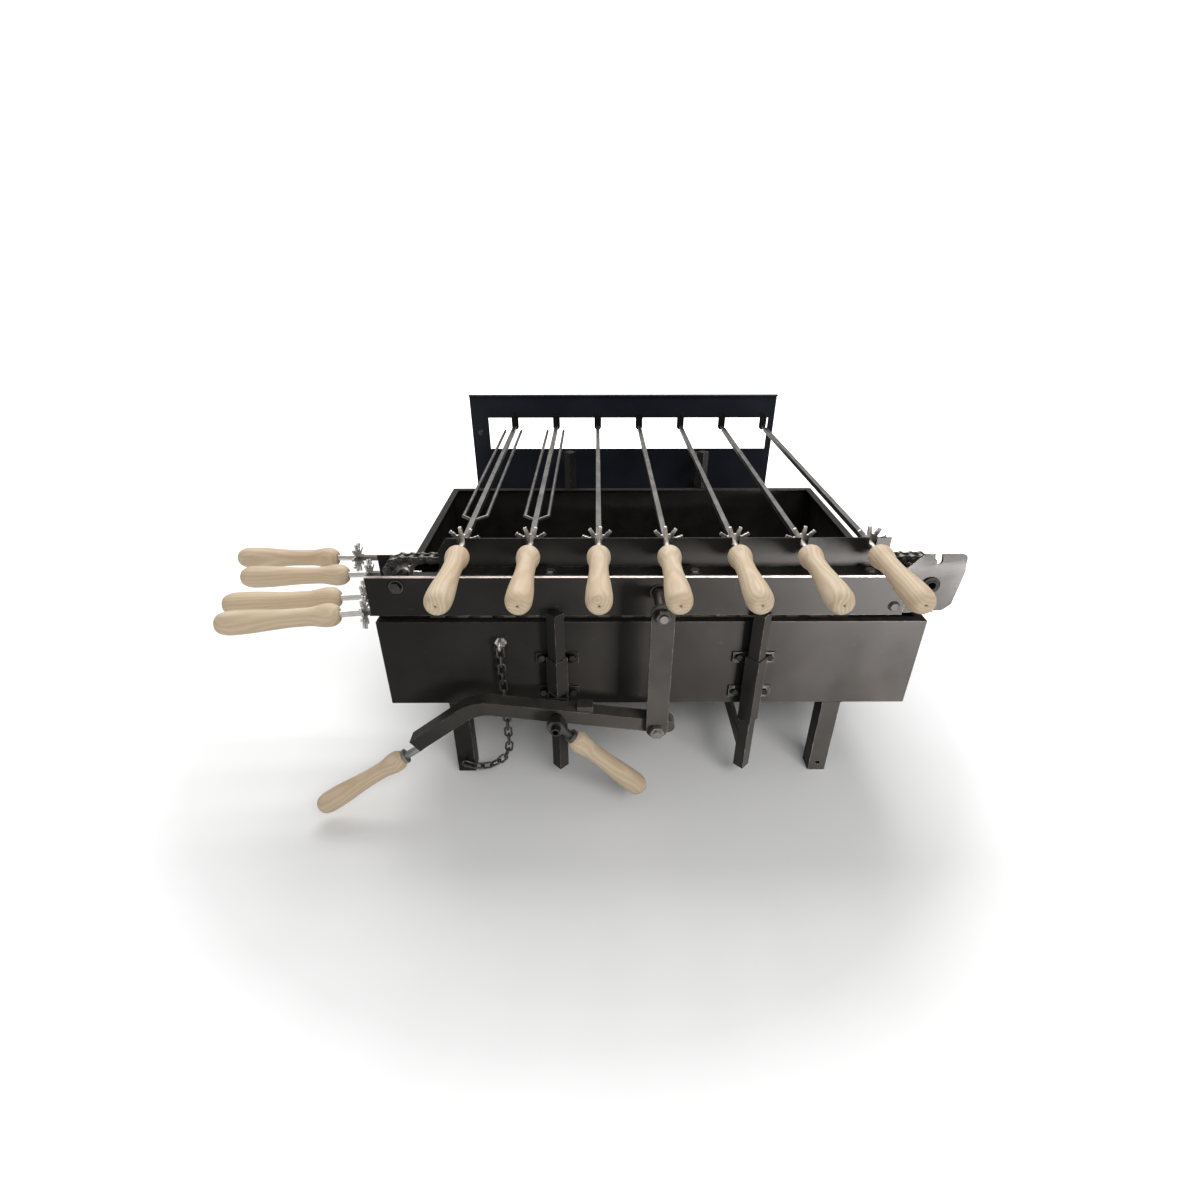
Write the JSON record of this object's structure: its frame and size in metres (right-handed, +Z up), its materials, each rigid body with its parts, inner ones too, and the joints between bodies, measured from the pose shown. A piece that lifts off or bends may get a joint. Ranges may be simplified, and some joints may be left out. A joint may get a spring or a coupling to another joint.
{
  "type": "rotisserie spit roaster",
  "caption": "Charcoal box with a lever-lifted rack of chain-driven skewers, wooden handles, windowed rear panel and spare large skewers.",
  "frame": {"origin": "middle of the whole roaster's outline, on the plane of its feet", "axes": "+Z up, -Y towards the user, +X to the user's right, along the row of skewers"},
  "size_m": [1.0216, 0.749, 0.42],
  "materials": {
    "painted": "satin black paint, slightly warm, scuffed at edges",
    "panel": "semi-gloss black paint",
    "grate": "heat-darkened steel",
    "steel": "plain drawn steel",
    "zinc": "dull zinc plating",
    "chain": "oiled dark steel",
    "wood": "bare turned beech, matt"
  },
  "bodies": {
    "box": {"fire_box": "painted", "charcoal_grate": "grate", "legs": "painted", "front_sleeves": "painted", "rear_sleeves": "painted", "sleeve_bolts": "zinc", "lever_pivot": "steel", "chain_eye": "zinc", "retaining_chain": "chain"},
    "rack": {"front_rail": "painted", "notch_plate": "painted", "base_bars": "painted", "rear_panel": "panel", "tip_hooks": "steel", "front_posts": "painted", "rear_posts": "painted", "motor_bracket": "painted", "rail_bolts": "zinc", "idler_axle": "zinc", "drive_bush": "zinc", "drive_chain": "chain", "link_bolt": "zinc", "link_spacers": "zinc"},
    "lever": {"lever_arm": "painted", "lever_tang": "steel", "lever_handle": "wood", "lever_bolt": "zinc"},
    "link": {"lift_link": "painted"},
    "lock": {"lock_lever": "steel", "lock_handle": "wood"},
    "drive": {"drive_shaft": "steel", "drive_sprocket": "zinc"},
    "idler": {"idler_sprocket": "zinc"},
    "spit_1": {"skewer_1": "steel", "handle_1": "wood"},
    "spit_2": {"skewer_2": "steel", "handle_2": "wood"},
    "spit_3": {"skewer_3": "steel", "handle_3": "wood"},
    "spit_4": {"skewer_4": "steel", "handle_4": "wood"},
    "spit_5": {"skewer_5": "steel", "handle_5": "wood"},
    "spit_6": {"skewer_6": "steel", "handle_6": "wood"},
    "spit_7": {"skewer_7": "steel", "handle_7": "wood"},
    "large_spit_1": {"large_skewer_1": "steel", "large_handle_1": "wood"},
    "large_spit_2": {"large_skewer_2": "steel", "large_handle_2": "wood"},
    "large_spit_3": {"large_skewer_3": "steel", "large_handle_3": "wood"},
    "large_spit_4": {"large_skewer_4": "steel", "large_handle_4": "wood"}
  },
  "joints": [
    {"name": "rack_lift", "type": "slide", "parent": "box", "child": "rack", "axis": [0, 0, 1], "range_m": [0, 0.045]},
    {"name": "lever_turn", "type": "hinge", "parent": "box", "child": "lever", "pos_m": [-0.01772, -0.2925, 0.15], "axis": [0, -1, 0], "range_deg": [-0.5, 20]},
    {"name": "link_swing", "type": "hinge", "parent": "rack", "child": "link", "pos_m": [0.11228, -0.307, 0.307], "axis": [0, 1, 0], "range_deg": [-0.1, 0.5]},
    {"name": "lock_turn", "type": "hinge", "parent": "box", "child": "lock", "pos_m": [-0.01772, -0.3185, 0.15], "axis": [0, -1, 0], "range_deg": [-35, 12]},
    {"name": "drive_spin", "type": "hinge", "parent": "rack", "child": "drive", "pos_m": [0.44768, -0.2165, 0.31595], "axis": [0, 1, 0], "continuous": true, "deforming": ["drive_chain"]},
    {"name": "idler_spin", "type": "hinge", "parent": "rack", "child": "idler", "pos_m": [-0.21271, -0.2165, 0.31595], "axis": [0, 1, 0], "continuous": true},
    {"name": "spit_1_spin", "type": "hinge", "parent": "rack", "child": "spit_1", "pos_m": [-0.13228, -0.2165, 0.357], "axis": [0, 1, 0], "continuous": true},
    {"name": "spit_2_spin", "type": "hinge", "parent": "rack", "child": "spit_2", "pos_m": [-0.04761, -0.2165, 0.357], "axis": [0, 1, 0], "continuous": true},
    {"name": "spit_3_spin", "type": "hinge", "parent": "rack", "child": "spit_3", "pos_m": [0.03705, -0.2165, 0.357], "axis": [0, 1, 0], "continuous": true},
    {"name": "spit_4_spin", "type": "hinge", "parent": "rack", "child": "spit_4", "pos_m": [0.12172, -0.2165, 0.357], "axis": [0, 1, 0], "continuous": true},
    {"name": "spit_5_spin", "type": "hinge", "parent": "rack", "child": "spit_5", "pos_m": [0.20639, -0.2165, 0.357], "axis": [0, 1, 0], "continuous": true},
    {"name": "spit_6_spin", "type": "hinge", "parent": "rack", "child": "spit_6", "pos_m": [0.29105, -0.2165, 0.357], "axis": [0, 1, 0], "continuous": true},
    {"name": "spit_7_spin", "type": "hinge", "parent": "rack", "child": "spit_7", "pos_m": [0.37572, -0.2165, 0.357], "axis": [0, 1, 0], "continuous": true},
    {"name": "large_spit_1_draw", "type": "slide", "parent": "box", "child": "large_spit_1", "axis": [-0.9867, -0.1628, 0], "range_m": [0, 0.25]},
    {"name": "large_spit_2_draw", "type": "slide", "parent": "box", "child": "large_spit_2", "axis": [-0.9926, -0.1218, 0], "range_m": [0, 0.25]},
    {"name": "large_spit_3_draw", "type": "slide", "parent": "box", "child": "large_spit_3", "axis": [-0.9987, -0.0507, 0], "range_m": [0, 0.25]},
    {"name": "large_spit_4_draw", "type": "slide", "parent": "box", "child": "large_spit_4", "axis": [-1, 0.0042, 0], "range_m": [0, 0.25]}
  ],
  "couplings": [
    {"joint": "lever_turn", "follows": "rack_lift", "rad_per_m": 7.6717},
    {"joint": "link_swing", "follows": "rack_lift", "rad_per_m": 0.1435},
    {"joint": "idler_spin", "follows": "drive_spin", "ratio": 1},
    {"joint": "spit_1_spin", "follows": "drive_spin", "ratio": -1},
    {"joint": "spit_2_spin", "follows": "drive_spin", "ratio": -1},
    {"joint": "spit_3_spin", "follows": "drive_spin", "ratio": -1},
    {"joint": "spit_4_spin", "follows": "drive_spin", "ratio": -1},
    {"joint": "spit_5_spin", "follows": "drive_spin", "ratio": -1},
    {"joint": "spit_6_spin", "follows": "drive_spin", "ratio": -1},
    {"joint": "spit_7_spin", "follows": "drive_spin", "ratio": -1}
  ]
}
